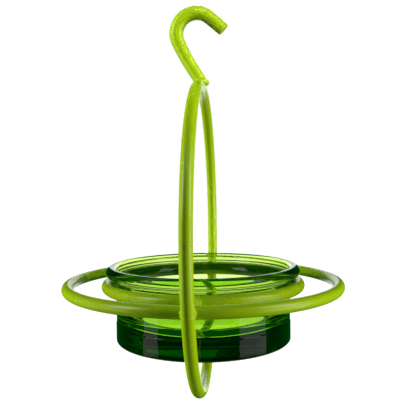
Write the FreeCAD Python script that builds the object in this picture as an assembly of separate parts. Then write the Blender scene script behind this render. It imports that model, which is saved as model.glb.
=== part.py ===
"""Hanging dish feeder: a powder-coated wire frame that carries a loose, open glass dish.

Millimetres, +Z up. The origin is the seat inside the hook, the point that bears on whatever the
feeder hangs from. The tall hoop stands in a plane parallel to YZ, and the hook lies in the XZ plane
and opens towards +X. Two level rings, joined by short links, carry the dish.
"""
import FreeCAD, Part
import math
import os

from FreeCAD import Vector

# Wires. Their diameters include the coat of powder.
WIRE_D = 6.2                # hoop, rings and links
HOOK_WIRE_D = 7.6

# Rings, measured to the middle of the wire
HOOP_R = 82.5
PERCH_R = 74.0
CRADLE_R = 52.8
RING_DROP = 26.0            # the level rings lie this far below the hoop's centre

# Hook, from its cut tip over the bend and down to the hoop's crown
HOOK_BEND_R = 11.05         # to the middle of the wire
HOOK_BEND_RISE = 112.3      # centre of the bend above the hoop's centre
HOOK_OFFSET = 2.1           # the bend's centre stands this far to -X of the hoop
TIP_LENGTH = 10.5           # straight end beyond the bend
TIP_SLOPE = 41.5            # degrees that the straight end falls below level
SHANK_SLOPE = 24.0          # degrees from upright where the shank leaves the bend
SHANK_R = 127.0             # the shank is very slightly bowed
SHANK_TURN = 12.0           # degrees
TIP_CHAMFER = 0.4
FOOT_ROUNDING = 3.2         # the foot is rounded over where it is welded down

# Seam where the hoop's two ends are butt-welded, at the front crossing
SEAM_WIDTH = 0.8
SEAM_DEPTH = 0.2

# Weld beads, as rings of metal: radius of the ring, radius of its section
HOOK_BEAD = (2.4, 1.8)
HOOK_BEAD_SHIFT = 0.4       # the bead sits a little to +X of the hoop's crown
HOOK_BEAD_RISE = 3.4        # its middle above the middle of the hoop's wire
CROSS_BEAD = (2.6, 1.2)
LINK_BEAD = (2.9, 0.9)
LINK_SINK = 1.0             # how far a link's ends melt into the ring wires

# Glass dish
RIM_R = 53.5                # widest part of the bead round the mouth
RIM_TOP_RISE = 10.75        # the rim's top above the rings' plane
RIM_BEAD_H = 6.2
BODY_R = 48.0
DISH_HEIGHT = 41.2
WALL = 4.0
FLOOR = 9.5                 # thick pressed base
FLOOR_R = 33.5              # flat part of the floor inside
BASE_ROUNDING = 1.6
STEP_RISE = 10.6            # mould line round the body, above the base
STEP_DEPTH = 0.25           # the band below the line stands out this far
REST_GAP = 0.05             # clearance under the shoulder, so that the two bodies never overlap

PARTS = "parts"

wire_r = WIRE_D / 2
hook_r = HOOK_WIRE_D / 2
hoop_x = HOOK_OFFSET
hoop_z = -(HOOK_BEND_RISE + HOOK_BEND_R - hook_r)
ring_z = hoop_z - RING_DROP
hoop_y_at_rings = math.sqrt(HOOP_R ** 2 - RING_DROP ** 2)
X_AXIS = Vector(1, 0, 0)
Y_AXIS = Vector(0, 1, 0)
Z_AXIS = Vector(0, 0, 1)


def turned(x, z, degrees):
    """The direction (x, z) in the hook's plane, turned by an angle from +X towards +Z."""
    angle = math.radians(degrees)
    return (x * math.cos(angle) - z * math.sin(angle), x * math.sin(angle) + z * math.cos(angle))


def level_ring(radius):
    return Part.makeTorus(radius, wire_r, Vector(hoop_x, 0, ring_z), Z_AXIS)


def hoop():
    """The upright hoop, with a shallow groove where its two ends meet."""
    ring = Part.makeTorus(HOOP_R, wire_r, Vector(hoop_x, 0, hoop_z), X_AXIS)
    along = Vector(0, RING_DROP, -hoop_y_at_rings)
    along.normalize()
    middle = Vector(hoop_x, -hoop_y_at_rings, ring_z)
    start = middle - along * (SEAM_WIDTH / 2)
    collar = Part.makeCylinder(wire_r + 1, SEAM_WIDTH, start, along)
    core = Part.makeCylinder(wire_r - SEAM_DEPTH, SEAM_WIDTH, start, along)
    return ring.cut(collar.cut(core))


def hook_path():
    """The middle line of the hook's wire, from the tip to the foot."""
    centre = Vector(0, 0, hook_r - HOOK_BEND_R)

    def on_bend(degrees):
        x, z = turned(HOOK_BEND_R, 0, degrees)
        return centre + Vector(x, 0, z)

    bend_start = on_bend(90 - TIP_SLOPE)
    bend_end = on_bend(180 + SHANK_SLOPE)
    slope = math.radians(TIP_SLOPE)
    tip = bend_start + Vector(math.cos(slope), 0, -math.sin(slope)) * TIP_LENGTH

    inward = centre - bend_end
    inward.normalize()
    shank_centre = bend_end + inward * SHANK_R

    def on_shank(degrees):
        x, z = turned(-inward.x * SHANK_R, -inward.z * SHANK_R, degrees)
        return shank_centre + Vector(x, 0, z)

    edges = [
        Part.LineSegment(tip, bend_start).toShape(),
        Part.Arc(bend_start, on_bend(135), bend_end).toShape(),
        Part.Arc(bend_end, on_shank(SHANK_TURN / 2), on_shank(SHANK_TURN)).toShape(),
    ]
    return Part.Wire(edges), tip, on_shank(SHANK_TURN)


def end_edge(shape, point):
    """The round edge of a wire's end nearest to a point on its middle line."""
    circles = [edge for edge in shape.Edges if edge.Closed]
    return min(circles, key=lambda edge: edge.CenterOfMass.distanceToPoint(point))


def hook():
    path, tip, foot = hook_path()
    slope = math.radians(TIP_SLOPE)
    facing = Vector(math.cos(slope), 0, -math.sin(slope))
    section = Part.Wire([Part.makeCircle(hook_r, tip, facing)])
    wire = path.makePipeShell([section], True, True)
    wire = wire.makeFillet(FOOT_ROUNDING, [end_edge(wire, foot)])
    return wire.makeChamfer(TIP_CHAMFER, [end_edge(wire, tip)])


def link(side):
    """A short straight wire between the two level rings; side is -1 at the front, +1 at the rear."""
    length = PERCH_R - CRADLE_R - WIRE_D + 2 * LINK_SINK
    start = Vector(hoop_x, side * (CRADLE_R + wire_r - LINK_SINK), ring_z)
    return Part.makeCylinder(wire_r, length, start, Vector(0, side, 0))


def bead(size, centre, axis):
    return Part.makeTorus(size[0], size[1], centre, axis)


def hook_weld():
    crown = Vector(hoop_x + HOOK_BEAD_SHIFT, 0, hoop_z + HOOP_R + HOOK_BEAD_RISE)
    return bead(HOOK_BEAD, crown, Z_AXIS)


def perch_weld(side):
    """The bead where the hoop and the perch ring cross."""
    between = side * (hoop_y_at_rings + PERCH_R) / 2
    return bead(CROSS_BEAD, Vector(hoop_x, between, ring_z), Y_AXIS)


def link_welds(side):
    """One bead at each end of a link."""
    radii = [CRADLE_R + wire_r, PERCH_R - wire_r]
    beads = [bead(LINK_BEAD, Vector(hoop_x, side * radius, ring_z), Y_AXIS) for radius in radii]
    return Part.makeCompound(beads)


def dish_profile():
    """Half of the dish's section, in the XZ plane at Y = 0, measured from the hoop's axis."""
    top = ring_z + RIM_TOP_RISE
    base = top - DISH_HEIGHT
    bead_r = RIM_BEAD_H / 2
    bead_centre = RIM_R - bead_r
    neck_z = top - RIM_BEAD_H

    # The shoulder is the tangent from the neck down to the cradle ring, clear of it by REST_GAP.
    contact = math.radians(48)
    reach = wire_r + REST_GAP
    rest_r = CRADLE_R - reach * math.cos(contact)
    rest_z = ring_z + reach * math.sin(contact)
    fall = (rest_r - BODY_R) * math.cos(contact) / math.sin(contact)

    step_z = base + STEP_RISE
    band_r = BODY_R + STEP_DEPTH
    floor_z = base + FLOOR
    inner_r = BODY_R - WALL
    bowl_r = inner_r - FLOOR_R

    def at(radius, z):
        return Vector(radius, 0, z)

    def line(a, b):
        return Part.LineSegment(at(*a), at(*b)).toShape()

    def arc(a, middle, b):
        return Part.Arc(at(*a), at(*middle), at(*b)).toShape()

    lip_in = (RIM_R - RIM_BEAD_H, top - bead_r)
    lip_top = (bead_centre, top)
    lip_out = (RIM_R, top - bead_r)
    neck = (bead_centre + 1.2, neck_z + 0.25)
    shoulder = (rest_r, rest_z)
    body_top = (BODY_R, rest_z - fall)
    diagonal = math.sqrt(0.5)
    edges = [
        arc(lip_in, (bead_centre - bead_r * diagonal, top - bead_r * (1 - diagonal)), lip_top),
        arc(lip_top, (bead_centre + bead_r * diagonal, top - bead_r * (1 - diagonal)), lip_out),
        arc(lip_out, (RIM_R - 0.55, top - bead_r - 1.75), neck),
        line(neck, shoulder),
        line(shoulder, body_top),
        line(body_top, (BODY_R, step_z + STEP_DEPTH)),
        line((BODY_R, step_z + STEP_DEPTH), (band_r, step_z)),
        line((band_r, step_z), (band_r, base + BASE_ROUNDING)),
        arc((band_r, base + BASE_ROUNDING),
            (band_r - BASE_ROUNDING * (1 - diagonal), base + BASE_ROUNDING * (1 - diagonal)),
            (band_r - BASE_ROUNDING, base)),
        line((band_r - BASE_ROUNDING, base), (0, base)),
        line((0, base), (0, floor_z)),
        line((0, floor_z), (FLOOR_R, floor_z)),
        arc((FLOOR_R, floor_z),
            (FLOOR_R + bowl_r * diagonal, floor_z + bowl_r * (1 - diagonal)),
            (inner_r, floor_z + bowl_r)),
        line((inner_r, floor_z + bowl_r), (inner_r, rest_z - fall)),
        line((inner_r, rest_z - fall), lip_in),
    ]
    return Part.Wire(edges)


def glass_dish():
    """The open dish, turned about the upright axis and centred in the rings."""
    solid = Part.Face(dish_profile()).revolve(Vector(0, 0, 0), Z_AXIS, 360)
    solid.translate(Vector(hoop_x, 0, 0))
    return solid


def all_parts():
    parts = {
        "hoop": hoop(),
        "hook": hook(),
        "hook_weld": hook_weld(),
        "perch_ring": level_ring(PERCH_R),
        "cradle_ring": level_ring(CRADLE_R),
        "glass_dish": glass_dish(),
    }
    for name, side in (("front", -1), ("rear", 1)):
        parts[name + "_link"] = link(side)
        parts[name + "_link_welds"] = link_welds(side)
        parts[name + "_perch_weld"] = perch_weld(side)
    return parts


os.makedirs(PARTS, exist_ok=True)
for name, shape in all_parts().items():
    shape.exportStep(os.path.join(PARTS, name + ".step"))
    box = shape.BoundBox
    print(name, "valid", shape.isValid(), "solids", len(shape.Solids), "volume", round(shape.Volume, 1),
          "x %.2f %.2f y %.2f %.2f z %.2f %.2f" % (box.XMin, box.XMax, box.YMin, box.YMax, box.ZMin, box.ZMax))
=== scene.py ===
"""Hanging dish feeder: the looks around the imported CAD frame.

Metres, in the CAD model's frame: +Z up, the origin at the seat inside the hook. The wires and the weld
beads are swept again as smooth, slightly uneven tubes, and the glass dish is turned from its section.
"""

import math

import bmesh
import bpy
from mathutils import Matrix, Vector, noise

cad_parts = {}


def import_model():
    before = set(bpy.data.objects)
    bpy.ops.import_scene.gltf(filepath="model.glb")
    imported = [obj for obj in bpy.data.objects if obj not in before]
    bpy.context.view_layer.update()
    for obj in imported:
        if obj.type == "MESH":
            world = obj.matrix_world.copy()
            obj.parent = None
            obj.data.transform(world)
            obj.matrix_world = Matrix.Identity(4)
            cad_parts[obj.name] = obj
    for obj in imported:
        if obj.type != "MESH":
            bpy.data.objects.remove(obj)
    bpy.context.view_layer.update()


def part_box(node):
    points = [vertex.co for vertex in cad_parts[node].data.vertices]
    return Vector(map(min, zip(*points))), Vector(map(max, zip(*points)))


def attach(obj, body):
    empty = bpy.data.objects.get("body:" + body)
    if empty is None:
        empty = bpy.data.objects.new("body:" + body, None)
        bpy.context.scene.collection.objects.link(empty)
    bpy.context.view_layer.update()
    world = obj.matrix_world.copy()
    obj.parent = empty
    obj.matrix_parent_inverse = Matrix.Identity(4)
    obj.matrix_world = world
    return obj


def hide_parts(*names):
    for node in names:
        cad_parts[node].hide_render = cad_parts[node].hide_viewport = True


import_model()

MM = 0.001
X_AXIS, Y_AXIS, Z_AXIS = Vector((1, 0, 0)), Vector((0, 1, 0)), Vector((0, 0, 1))

# Driving sizes, read from the CAD nodes
hoop_low, hoop_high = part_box("hoop")
hook_low, hook_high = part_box("hook")
perch_low, perch_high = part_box("perch_ring")
cradle_low, cradle_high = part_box("cradle_ring")
dish_low, dish_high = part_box("glass_dish")
HOOP_C = (hoop_low + hoop_high) / 2
RING_C = (perch_low + perch_high) / 2
WIRE_R = (hoop_high.x - hoop_low.x) / 2
HOOP_R = (hoop_high.z - hoop_low.z) / 2 - WIRE_R
PERCH_R = (perch_high.y - perch_low.y) / 2 - WIRE_R
CRADLE_R = (cradle_high.y - cradle_low.y) / 2 - WIRE_R
HOOK_WIRE_R = (hook_high.y - hook_low.y) / 2
RIM_R = (dish_high.y - dish_low.y) / 2
RING_DROP = HOOP_C.z - RING_C.z
CROSSING_Y = math.sqrt(HOOP_R ** 2 - RING_DROP ** 2)

# Hook, as in the CAD model
HOOK_BEND_R = 11.05 * MM
TIP_LENGTH = 10.5 * MM
TIP_SLOPE = math.radians(41.5)
SHANK_SLOPE = math.radians(24.0)
SHANK_R = 127.0 * MM
SHANK_TURN = math.radians(12.0)

# Dish, as in the CAD model
BODY_R = 48.0 * MM
WALL = 4.0 * MM
FLOOR = 9.5 * MM
FLOOR_R = 33.5 * MM
RIM_BEAD_R = 3.1 * MM
BASE_ROUNDING = 1.6 * MM
STEP_RISE = 10.6 * MM
STEP_DEPTH = 0.25 * MM
SHOULDER_LOW_DROP = 10.83 * MM      # the shoulder's two ends, below the rim's top
SHOULDER_HIGH_DROP = 8.41 * MM
SHOULDER_HIGH_R = 50.69 * MM

# Dish, finer than in the CAD model
STEP_SOFTNESS = 0.05 * MM
NECK = ((51.2 * MM, 7.0 * MM), (51.6 * MM, 6.1 * MM))   # radius, and how far below the rim's top
FLARE_DEPTH = 10.5 * MM             # the mouth flares out over this height
HOLLOW_R = 38.0 * MM                # the base is hollowed a little inside its foot
HOLLOW_DEPTH = 0.5 * MM
FOOT_R = 40.0 * MM
GLASS_WAVE = 0.05 * MM
GLASS_WAVE_SIZE = 16 * MM

# Camera
VIEW_AZIMUTH = math.radians(4.9)
VIEW_ELEVATION = math.radians(5.4)
VIEW_ROLL = math.radians(-0.67)
VIEW_DISTANCE = 0.3293
AIM_RISE = 0.0204
AIM_SIDE = -0.0011
LENS = 53.1

# Steps of the meshes
WIRE_SIDES = 40
BEAD_SIDES = 20
BEAD_STEPS = 96
TURN_STEPS = 384
HOOP_STEPS = 420
PERCH_STEPS = 384
CRADLE_STEPS = 320
LINK_STEPS = 24
TIP_STEPS = 24
BEND_STEPS = 96
SHANK_STEPS = 60
END_STEPS = 8


# ---------------------------------------------------------------- meshes

def new_object(name, bm, smooth=True):
    mesh = bpy.data.meshes.new(name)
    bm.normal_update()
    bm.to_mesh(mesh)
    bm.free()
    if smooth:
        mesh.polygons.foreach_set("use_smooth", [True] * len(mesh.polygons))
    piece = bpy.data.objects.new(name, mesh)
    bpy.context.scene.collection.objects.link(piece)
    return piece


def sweep(name, stations, across, closed, sides=WIRE_SIDES):
    """A round tube through stations (centre, direction, radius). across is never along a direction."""
    bm = bmesh.new()
    angles = [2 * math.pi * k / sides for k in range(sides)]
    loops = []
    for centre, direction, radius in stations:
        side = across.cross(direction).normalized()
        up = direction.cross(side).normalized()
        loops.append([bm.verts.new(centre + side * (radius * math.cos(a)) + up * (radius * math.sin(a)))
                      for a in angles])
    pairs = list(zip(loops, loops[1:]))
    if closed:
        pairs.append((loops[-1], loops[0]))
    for first, second in pairs:
        for k in range(sides):
            bm.faces.new((first[k], first[(k + 1) % sides], second[(k + 1) % sides], second[k]))
    if not closed:
        for loop, centre, turn in ((loops[0], stations[0][0], False), (loops[-1], stations[-1][0], True)):
            middle = bm.verts.new(centre)
            for k in range(sides):
                a, b = loop[k], loop[(k + 1) % sides]
                bm.faces.new((a, b, middle) if turn else (b, a, middle))
    bmesh.ops.recalc_face_normals(bm, faces=bm.faces)
    return new_object(name, bm)


def rounded_end(centre, direction, radius, rounding, outward):
    """Stations that round a cut end over; outward is +1 at the end of a path and -1 at its start."""
    stations = []
    for k in range(1, END_STEPS + 1):
        angle = math.pi / 2 * k / END_STEPS
        along = rounding * math.sin(angle) * outward
        inset = rounding * (1 - math.cos(angle))
        stations.append((centre + direction * along, direction, radius - inset))
    return stations


def waver(point, size, amount):
    """A smooth, repeatable unevenness about 1."""
    return 1 + amount * noise.noise(point / size)


# ---------------------------------------------------------------- wires

def hoop_stations():
    """Round the hoop from the seam at the front crossing, with closer stations at the seam."""
    full_turn = 2 * math.pi
    seam = -math.asin(RING_DROP / HOOP_R)
    groove = 0.35 * MM
    groove_depth = 0.34 * MM
    upset = 1.6 * MM
    upset_height = 0.16 * MM
    clear = 4 * groove
    turns = [full_turn * k / HOOP_STEPS for k in range(1, HOOP_STEPS)]
    turns = [turn for turn in turns if clear < HOOP_R * turn < HOOP_R * full_turn - clear]
    near = [offset * groove / HOOP_R for offset in (-3, -2, -1, -0.5, 0, 0.5, 1, 2, 3)]
    stations = []
    for turn in sorted(turns + [offset % full_turn for offset in near]):
        angle = seam + turn
        arc = min(turn, full_turn - turn) * HOOP_R
        radius = WIRE_R * waver(Vector((0, math.cos(angle), math.sin(angle))), 0.7, 0.006)
        radius += upset_height * math.exp(-(arc / upset) ** 2)
        radius -= groove_depth * math.exp(-(arc / groove) ** 2)
        centre = HOOP_C + Vector((0, -math.cos(angle), math.sin(angle))) * HOOP_R
        stations.append((centre, Vector((0, math.sin(angle), math.cos(angle))), radius))
    return stations


def ring_stations(radius_of_ring, steps, seed):
    """Round a level ring; the seed makes each ring uneven in its own way."""
    stations = []
    for k in range(steps):
        angle = 2 * math.pi * k / steps
        out = Vector((math.cos(angle), math.sin(angle), 0))
        radius = WIRE_R * waver(out + Vector((0, 0, seed)), 0.6, 0.008)
        stations.append((RING_C + out * radius_of_ring, Vector((-out.y, out.x, 0)), radius))
    return stations


def hook_stations():
    """From the cut tip over the bend and down the bowed shank to the foot."""
    centre = Vector((0, 0, HOOK_WIRE_R - HOOK_BEND_R))

    def out(angle):
        return Vector((math.cos(angle), 0, math.sin(angle)))

    path = []
    bend_start = math.pi / 2 - TIP_SLOPE
    bend_end = math.pi + SHANK_SLOPE
    start = centre + out(bend_start) * HOOK_BEND_R
    heading = Vector((-math.sin(bend_start), 0, math.cos(bend_start)))
    for k in range(TIP_STEPS):
        path.append((start - heading * (TIP_LENGTH * (1 - k / TIP_STEPS)), heading))
    for k in range(BEND_STEPS):
        angle = bend_start + (bend_end - bend_start) * k / BEND_STEPS
        path.append((centre + out(angle) * HOOK_BEND_R, Vector((-math.sin(angle), 0, math.cos(angle)))))
    shank_centre = centre + out(bend_end) * (HOOK_BEND_R - SHANK_R)
    for k in range(SHANK_STEPS + 1):
        angle = bend_end + SHANK_TURN * k / SHANK_STEPS
        path.append((shank_centre + out(angle) * SHANK_R, Vector((-math.sin(angle), 0, math.cos(angle)))))

    end_scale = 0.92
    middle_swell = 0.12
    swell_pace = 1.15       # above 1, the swell has died out before the foot
    stations = []
    for k, (point, direction) in enumerate(path):
        share = k / (len(path) - 1)
        swell = end_scale + middle_swell * math.sin(math.pi * min(1.0, share * swell_pace)) ** 1.5
        radius = HOOK_WIRE_R * swell * waver(point, 0.02, 0.006)
        stations.append((point, direction, radius))
    tip, tip_way, tip_r = stations[0]
    foot, foot_way, foot_r = stations[-1]
    cut = 0.45 * MM
    sink = 3.2 * MM
    first = list(reversed(rounded_end(tip + tip_way * cut, tip_way, tip_r, cut, -1)))
    body = [s for s in stations if (s[0] - tip).length > cut and (s[0] - foot).length > sink]
    last = rounded_end(foot - foot_way * sink, foot_way, foot_r, sink, 1)
    return first + body + last


def link_stations(side):
    """Straight from the cradle ring to the perch ring, with both ends melted into the rings."""
    melted = WIRE_R * 0.7
    start = CRADLE_R + melted
    end = PERCH_R - melted
    stations = []
    for k in range(LINK_STEPS + 1):
        y = side * (start + (end - start) * k / LINK_STEPS)
        point = Vector((RING_C.x, y, RING_C.z))
        stations.append((point, Y_AXIS * side, WIRE_R * waver(point, 0.02, 0.012)))
    return stations


# ---------------------------------------------------------------- weld beads

def bead(name, curve, across, thickness, seed):
    """A lumpy ring of weld metal along a closed curve."""
    count = len(curve)
    stations = []
    for k in range(count):
        direction = (curve[(k + 1) % count] - curve[k - 1]).normalized()
        turn = 2 * math.pi * k / count
        lumps = noise.noise(Vector((seed, 3 * math.cos(turn), 3 * math.sin(turn))))
        ripple = 0.10 * math.sin(9 * turn + seed) + 0.14 * lumps
        stations.append((curve[k], direction, thickness * (1 + ripple)))
    return sweep(name, stations, across, True, BEAD_SIDES)


def crossing_curve(centre, away, own_r, other_r):
    """Where a wire of own_r that runs along Y meets a wire of other_r along X; away is +1 or -1."""
    soft = 0.5 * MM
    curve = []
    for k in range(BEAD_STEPS):
        angle = 2 * math.pi * k / BEAD_STEPS
        x, z = own_r * math.cos(angle), own_r * math.sin(angle)
        depth = math.sqrt(max(other_r ** 2 - z ** 2, 0) + soft ** 2)
        curve.append(centre + Vector((x, away * depth, z)))
    return curve


def link_weld_beads(side):
    """The beads at both ends of a link, as one piece."""
    pieces = []
    for ring_r, away, seed in ((CRADLE_R, side, 1.3), (PERCH_R, -side, 4.1)):
        centre = Vector((RING_C.x, side * ring_r, RING_C.z))
        curve = crossing_curve(centre, away, WIRE_R * 1.02, WIRE_R)
        pieces.append(bead("bead", curve, Y_AXIS, 0.85 * MM, seed + side))
    return joined(("front" if side < 0 else "rear") + "_link_welds_cast", pieces)


def perch_weld_bead(side):
    """Squeezed-out metal round the crossing of the upright hoop and the level perch ring."""
    middle = Vector((RING_C.x, side * (CROSSING_Y + PERCH_R) / 2, RING_C.z))
    curve = []
    reach = WIRE_R * 0.92
    saddle = 0.35
    for k in range(BEAD_STEPS):
        angle = 2 * math.pi * k / BEAD_STEPS
        x, z = reach * math.cos(angle), reach * math.sin(angle)
        lean = (x * x - z * z) / reach * saddle
        curve.append(middle + Vector((x, side * lean, z)))
    name = ("front" if side < 0 else "rear") + "_perch_weld_cast"
    return bead(name, curve, Y_AXIS, 0.95 * MM, 2.2 + side)


def hook_weld_bead():
    """A collar of weld metal where the hook's foot stands on the hoop's crown."""
    crown = HOOP_C + Z_AXIS * (HOOP_R + WIRE_R * 0.55)
    curve = []
    half_width, half_length = 2.5 * MM, 2.9 * MM
    shift, rise = 0.3 * MM, 1.7 * MM
    droop = 0.7 * MM
    thickness = 1.7 * MM
    for k in range(BEAD_STEPS):
        angle = 2 * math.pi * k / BEAD_STEPS
        x, y = half_width * math.cos(angle), half_length * math.sin(angle)
        sag = droop * math.cos(angle) ** 2
        curve.append(crown + Vector((x + shift, y, rise - sag)))
    return bead("hook_weld_cast", curve, Z_AXIS, thickness, 0.7)


def joined(name, pieces):
    """One piece made of several, which are taken out of the scene."""
    bm = bmesh.new()
    for piece in pieces:
        bm.from_mesh(piece.data)
        bpy.data.objects.remove(piece)
    return new_object(name, bm)


# ---------------------------------------------------------------- glass dish

def arc_points(centre, radius, start, end, steps):
    """Points on an arc in the section's plane, angles in degrees from +radius towards up."""
    points = []
    for k in range(steps + 1):
        angle = math.radians(start + (end - start) * k / steps)
        points.append((centre[0] + radius * math.cos(angle), centre[1] + radius * math.sin(angle)))
    return points


def line_points(start, end, steps):
    """Points on a straight line, without its two ends."""
    return [(start[0] + (end[0] - start[0]) * k / steps, start[1] + (end[1] - start[1]) * k / steps)
            for k in range(1, steps)]


def dish_section():
    """Half of the dish's section as (radius, height), from the base's middle, outside and back inside."""
    base, top = dish_low.z, dish_high.z
    floor = base + FLOOR
    step = base + STEP_RISE
    band_r = BODY_R + STEP_DEPTH
    bead_c = (RIM_R - RIM_BEAD_R, top - RIM_BEAD_R)
    shoulder_low = (BODY_R, top - SHOULDER_LOW_DROP)
    shoulder_high = (SHOULDER_HIGH_R, top - SHOULDER_HIGH_DROP)
    inner_r = BODY_R - WALL
    bowl_r = inner_r - FLOOR_R
    hollow = base + HOLLOW_DEPTH
    foot_way = HOLLOW_R + 0.6 * (FOOT_R - HOLLOW_R)
    step_low = (band_r, step - 5 * STEP_SOFTNESS)
    step_high = (BODY_R, step + 8 * STEP_SOFTNESS)
    points = [(0, hollow)]
    points += line_points((0, hollow), (HOLLOW_R, hollow), 12)
    points += [(HOLLOW_R, hollow), (foot_way, base + HOLLOW_DEPTH / 2), (FOOT_R, base)]
    points += line_points((FOOT_R, base), (band_r - BASE_ROUNDING, base), 6)
    points += arc_points((band_r - BASE_ROUNDING, base + BASE_ROUNDING), BASE_ROUNDING, -90, 0, 10)
    points += line_points((band_r, base + BASE_ROUNDING), step_low, 16)
    points += [step_low, (band_r - STEP_SOFTNESS, step - STEP_SOFTNESS),
               (BODY_R + STEP_SOFTNESS, step + 4 * STEP_SOFTNESS), step_high]
    points += line_points(step_high, shoulder_low, 20)
    points += [shoulder_low]
    points += line_points(shoulder_low, shoulder_high, 8)
    points += [shoulder_high]
    points += [(radius, top - drop) for radius, drop in NECK]
    points += arc_points(bead_c, RIM_BEAD_R, -50, 180, 40)
    lip = (bead_c[0] - RIM_BEAD_R, bead_c[1])
    flare_low = top - FLARE_DEPTH
    flare_steps = 16
    for k in range(1, flare_steps + 1):
        share = k / flare_steps
        ease = share ** 2 * (3 - 2 * share)
        points.append((lip[0] + (inner_r - lip[0]) * ease, lip[1] + (flare_low - lip[1]) * share))
    points += line_points((inner_r, flare_low), (inner_r, floor + bowl_r), 12)
    points += arc_points((FLOOR_R, floor + bowl_r), bowl_r, 0, -90, 24)
    points += line_points((FLOOR_R, floor), (0, floor), 12)
    points += [(0, floor)]
    return points


def dish():
    """The turned dish, with the slight waves of pressed glass."""
    section = dish_section()
    centre = Vector((RING_C.x, 0, 0))
    calm_r = 20 * MM
    bm = bmesh.new()
    rows = []
    for radius, height in section:
        if radius == 0:
            rows.append([bm.verts.new(centre + Z_AXIS * height)])
            continue
        row = []
        for k in range(TURN_STEPS):
            angle = 2 * math.pi * k / TURN_STEPS
            out = Vector((math.cos(angle), math.sin(angle), 0))
            point = centre + out * radius + Z_AXIS * height
            wave = GLASS_WAVE * noise.noise(point / GLASS_WAVE_SIZE) * min(1.0, radius / calm_r)
            row.append(bm.verts.new(point + out * wave))
        rows.append(row)
    for first, second in zip(rows, rows[1:]):
        for k in range(TURN_STEPS):
            after = (k + 1) % TURN_STEPS
            if len(first) == 1:
                bm.faces.new((first[0], second[k], second[after]))
            elif len(second) == 1:
                bm.faces.new((first[k], second[0], first[after]))
            else:
                bm.faces.new((first[k], second[k], second[after], first[after]))
    bmesh.ops.recalc_face_normals(bm, faces=bm.faces)
    return new_object("glass_dish_pressed", bm)


# ---------------------------------------------------------------- materials

def material(name):
    """A new node material, with its nodes and its links."""
    made = bpy.data.materials.new(name)
    made.use_nodes = True
    return made, made.node_tree.nodes, made.node_tree.links


def noise_node(nodes, links, coordinates, scale, detail):
    node = nodes.new("ShaderNodeTexNoise")
    node.inputs["Scale"].default_value = scale
    node.inputs["Detail"].default_value = detail
    links.new(coordinates, node.inputs["Vector"])
    return node


def ramp_node(nodes, links, value, low, high):
    """A ramp from low to high over the middle of a noise's values."""
    ramp = nodes.new("ShaderNodeValToRGB")
    ramp.color_ramp.elements[0].position = 0.3
    ramp.color_ramp.elements[1].position = 0.7
    ramp.color_ramp.elements[0].color = (*low, 1)
    ramp.color_ramp.elements[1].color = (*high, 1)
    links.new(value, ramp.inputs["Fac"])
    return ramp


def powder_coat():
    """Glossy lime powder coat, almost even: its orange peel and its patches are very faint."""
    made, nodes, links = material("lime_powder_coat")
    shader = nodes["Principled BSDF"]
    coordinates = nodes.new("ShaderNodeTexCoord").outputs["Object"]
    patches = noise_node(nodes, links, coordinates, 90.0, 3.0)
    colour = ramp_node(nodes, links, patches.outputs["Fac"], (0.443, 0.64, 0.003), (0.449, 0.646, 0.004))
    links.new(colour.outputs["Color"], shader.inputs["Base Color"])
    rough = ramp_node(nodes, links, patches.outputs["Fac"], (0.26, 0.26, 0.26), (0.28, 0.28, 0.28))
    links.new(rough.outputs["Color"], shader.inputs["Roughness"])
    peel = noise_node(nodes, links, coordinates, 950.0, 2.0)
    bump = nodes.new("ShaderNodeBump")
    bump.inputs["Strength"].default_value = 0.02
    bump.inputs["Distance"].default_value = 0.00004
    links.new(peel.outputs["Fac"], bump.inputs["Height"])
    links.new(bump.outputs["Normal"], shader.inputs["Normal"])
    shader.inputs["IOR"].default_value = 1.6
    shader.inputs["Specular IOR Level"].default_value = 1.0
    shader.inputs["Coat Weight"].default_value = 0.1
    shader.inputs["Coat Roughness"].default_value = 0.12
    return made


def green_glass():
    """Pressed bottle-green glass: clear, tinted by its depth."""
    made, nodes, links = material("green_pressed_glass")
    shader = nodes["Principled BSDF"]
    shader.inputs["Base Color"].default_value = (1, 1, 1, 1)
    shader.inputs["Transmission Weight"].default_value = 1.0
    shader.inputs["IOR"].default_value = 1.52
    coordinates = nodes.new("ShaderNodeTexCoord").outputs["Object"]
    polish = noise_node(nodes, links, coordinates, 60.0, 2.0)
    rough = ramp_node(nodes, links, polish.outputs["Fac"], (0.0, 0.0, 0.0), (0.02, 0.02, 0.02))
    links.new(rough.outputs["Color"], shader.inputs["Roughness"])
    waves = noise_node(nodes, links, coordinates, 70.0, 1.0)
    bump = nodes.new("ShaderNodeBump")
    bump.inputs["Strength"].default_value = 0.1
    bump.inputs["Distance"].default_value = 0.0002
    links.new(waves.outputs["Fac"], bump.inputs["Height"])
    links.new(bump.outputs["Normal"], shader.inputs["Normal"])
    depth = nodes.new("ShaderNodeVolumeAbsorption")
    depth.inputs["Color"].default_value = (0.68, 0.87, 0.0, 1)
    depth.inputs["Density"].default_value = 270.0
    links.new(depth.outputs["Volume"], nodes["Material Output"].inputs["Volume"])
    return made


# ---------------------------------------------------------------- the pieces

def place(piece, node, body, finish):
    """Give a piece its finish, and let it replace its CAD node and ride that node's body."""
    piece.data.materials.clear()
    piece.data.materials.append(finish)
    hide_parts(node)
    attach(piece, body)


coat = powder_coat()
glass = green_glass()

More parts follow.
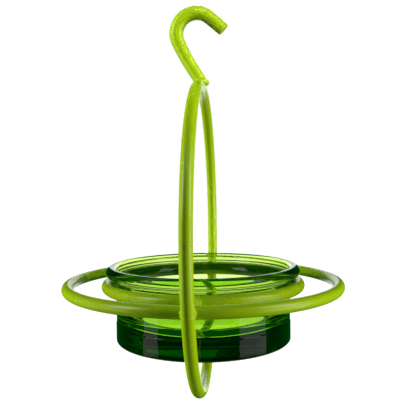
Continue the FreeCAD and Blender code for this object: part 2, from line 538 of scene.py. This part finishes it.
coated_pieces = {
    "hoop": sweep("hoop_wire", hoop_stations(), X_AXIS, True),
    "hook": sweep("hook_wire", hook_stations(), Y_AXIS, False),
    "perch_ring": sweep("perch_ring_wire", ring_stations(PERCH_R, PERCH_STEPS, 1.0), Z_AXIS, True),
    "cradle_ring": sweep("cradle_ring_wire", ring_stations(CRADLE_R, CRADLE_STEPS, 5.0), Z_AXIS, True),
    "front_link": sweep("front_link_wire", link_stations(-1), Z_AXIS, False),
    "rear_link": sweep("rear_link_wire", link_stations(1), Z_AXIS, False),
    "hook_weld": hook_weld_bead(),
    "front_perch_weld": perch_weld_bead(-1),
    "rear_perch_weld": perch_weld_bead(1),
    "front_link_welds": link_weld_beads(-1),
    "rear_link_welds": link_weld_beads(1),
}
for node, piece in coated_pieces.items():
    place(piece, node, "frame", coat)
place(dish(), "glass_dish", "dish", glass)


# ---------------------------------------------------------------- stage, lights and camera

def floor():
    """A pale, glowing floor below the hanging feeder, seen only by the camera and only from above."""
    bm = bmesh.new()
    bmesh.ops.create_grid(bm, x_segments=1, y_segments=1, size=3.0)
    plane = new_object("floor", bm, smooth=False)
    plane.location = (0, 0, hoop_low.z - 60 * MM)
    made, nodes, links = material("pale_floor")
    shader = nodes["Principled BSDF"]
    shader.inputs["Roughness"].default_value = 0.9
    shader.inputs["Base Color"].default_value = (0.2, 0.2, 0.2, 1)
    shader.inputs["Emission Color"].default_value = (1, 1, 1, 1)
    shader.inputs["Emission Strength"].default_value = 1.0
    from_below = nodes.new("ShaderNodeMixShader")
    links.new(nodes.new("ShaderNodeNewGeometry").outputs["Backfacing"], from_below.inputs["Fac"])
    links.new(shader.outputs["BSDF"], from_below.inputs[1])
    links.new(nodes.new("ShaderNodeBsdfTransparent").outputs["BSDF"], from_below.inputs[2])
    links.new(from_below.outputs["Shader"], nodes["Material Output"].inputs["Surface"])
    plane.data.materials.append(made)
    plane.visible_diffuse = False
    plane.visible_glossy = False
    plane.visible_transmission = False
    plane.visible_shadow = False


def toward(azimuth, elevation):
    """Unit vector from the feeder, azimuth in degrees from the front towards +X."""
    a, e = math.radians(azimuth), math.radians(elevation)
    return Vector((math.sin(a) * math.cos(e), -math.cos(a) * math.cos(e), math.sin(e)))


def hang(lamp, target, way, distance):
    """Set a lamp or panel at a distance from its target, facing it and hidden from the camera."""
    lamp.location = target + way * distance
    lamp.rotation_euler = way.to_track_quat("Z", "Y").to_euler()
    lamp.visible_camera = False


def key_light(name, azimuth, elevation, distance, width, height, radiance):
    """An area light that shades the feeder softly, and shows neither in gloss nor through the glass."""
    light = bpy.data.lights.new(name, "AREA")
    light.shape = "RECTANGLE"
    light.size = width
    light.size_y = height
    light.energy = radiance * math.pi * width * height
    lamp = bpy.data.objects.new(name, light)
    bpy.context.scene.collection.objects.link(lamp)
    hang(lamp, Vector((RING_C.x, 0, HOOP_C.z)), toward(azimuth, elevation), distance)
    lamp.visible_glossy = False
    lamp.visible_transmission = False


def panel(name, azimuth, elevation, width, height, radiance, gloss=False, through_glass=False):
    """A glowing panel a metre from the feeder that shows only in gloss, only through glass, or in both."""
    bm = bmesh.new()
    signs = ((-1, -1), (1, -1), (1, 1), (-1, 1))
    bm.faces.new([bm.verts.new((x * width / 2, y * height / 2, 0)) for x, y in signs])
    plane = new_object(name, bm, smooth=False)
    made, nodes, links = material(name + "_glow")
    nodes.remove(nodes["Principled BSDF"])
    glow = nodes.new("ShaderNodeEmission")
    glow.inputs["Strength"].default_value = radiance
    links.new(glow.outputs["Emission"], nodes["Material Output"].inputs["Surface"])
    made.cycles.emission_sampling = "NONE"
    plane.data.materials.append(made)
    hang(plane, Vector((RING_C.x, 0, HOOP_C.z)), toward(azimuth, elevation), 1.0)
    plane.visible_diffuse = False
    plane.visible_shadow = False
    plane.visible_glossy = gloss
    plane.visible_transmission = through_glass


def hook_lamp():
    """A small lamp with a narrow spread, aimed at the hook, which the other lamps leave too dark."""
    light = bpy.data.lights.new("hook_lamp", "AREA")
    light.shape = "DISK"
    light.size = 0.12
    light.energy = 0.05
    light.spread = math.radians(24)
    lamp = bpy.data.objects.new("hook_lamp", light)
    bpy.context.scene.collection.objects.link(lamp)
    bend_middle = Vector((0, 0, -8 * MM))
    hang(lamp, bend_middle, toward(5, 42), 0.5)
    lamp.visible_glossy = False
    lamp.visible_transmission = False


def world():
    """White to the camera, a dim grey-green room to soft shading, and a dark green in gloss and glass."""
    made = bpy.data.worlds.new("studio")
    bpy.context.scene.world = made
    made.cycles.sampling_method = "NONE"
    made.use_nodes = True
    nodes, links = made.node_tree.nodes, made.node_tree.links
    ray = nodes.new("ShaderNodeLightPath")
    room = nodes.new("ShaderNodeMix")
    room.data_type = "RGBA"
    room.inputs["A"].default_value = (0.0, 0.1, 0.005, 1)
    room.inputs["B"].default_value = (0.03, 0.065, 0.03, 1)
    links.new(ray.outputs["Is Diffuse Ray"], room.inputs["Factor"])
    seen = nodes.new("ShaderNodeMix")
    seen.data_type = "RGBA"
    seen.inputs["B"].default_value = (1, 1, 1, 1)
    links.new(room.outputs["Result"], seen.inputs["A"])
    links.new(ray.outputs["Is Camera Ray"], seen.inputs["Factor"])
    links.new(seen.outputs["Result"], nodes["Background"].inputs["Color"])


def camera():
    """In front and a little above the hoop's centre, aimed above that centre."""
    back = Vector((math.sin(VIEW_AZIMUTH) * math.cos(VIEW_ELEVATION),
                   -math.cos(VIEW_AZIMUTH) * math.cos(VIEW_ELEVATION), math.sin(VIEW_ELEVATION)))
    place_at = HOOP_C + back * VIEW_DISTANCE
    right = Z_AXIS.cross(back).normalized()
    up = back.cross(right)
    aim = HOOP_C + right * AIM_SIDE + up * AIM_RISE
    back = (place_at - aim).normalized()
    right = up.cross(back).normalized()
    up = back.cross(right)
    tilted_right = right * math.cos(VIEW_ROLL) + up * math.sin(VIEW_ROLL)
    tilted_up = up * math.cos(VIEW_ROLL) - right * math.sin(VIEW_ROLL)
    turn = Matrix((tilted_right, tilted_up, back)).transposed().to_4x4()
    data = bpy.data.cameras.new("camera")
    data.lens = LENS
    data.sensor_width = 36.0
    data.clip_start = 0.01
    made = bpy.data.objects.new("camera", data)
    bpy.context.scene.collection.objects.link(made)
    made.matrix_world = Matrix.Translation(place_at) @ turn
    bpy.context.scene.camera = made


floor()

# name, azimuth and elevation in degrees, distance, width and height in metres, radiance
key_light("left_key", -94, 0, 1.2, 0.35, 1.3, 14.5)
key_light("right_key", 83, 0, 1.2, 0.35, 1.3, 11.5)
key_light("top_front", 5, 50, 0.9, 0.6, 0.4, 0.7)
key_light("back_key", 184.9, 0, 1.0, 0.6, 0.9, 1.3)

# name, azimuth and elevation in degrees, width and height in metres, radiance
panel("backdrop", 184.9, -6, 1.1, 0.4, 1.3, through_glass=True)
panel("backdrop_low", 184.9, -27, 0.9, 0.46, 1.6, through_glass=True)
panel("backdrop_high", 184.9, 24, 1.2, 0.36, 0.4, through_glass=True)
panel("backdrop_gloss", 184.9, 0, 0.6, 0.9, 1.3, gloss=True)
panel("left_surround", -85, -6, 1.1, 0.4, 0.9, through_glass=True)
panel("right_surround", 95, -6, 1.1, 0.4, 0.9, through_glass=True)
panel("front_surround", 4.9, -6, 1.1, 0.4, 0.9, through_glass=True)
panel("left_softbox", -60, 28, 0.4, 0.6, 1.7, gloss=True)
panel("right_softbox", 69, 28, 0.4, 0.6, 1.3, gloss=True)
panel("left_glint", -64.6, -12, 0.39, 0.56, 0.6, gloss=True, through_glass=True)
panel("right_glint", 69.4, -12, 0.69, 0.56, 0.6, gloss=True, through_glass=True)
hook_lamp()
world()
camera()
bpy.context.scene.view_settings.view_transform = "Standard"
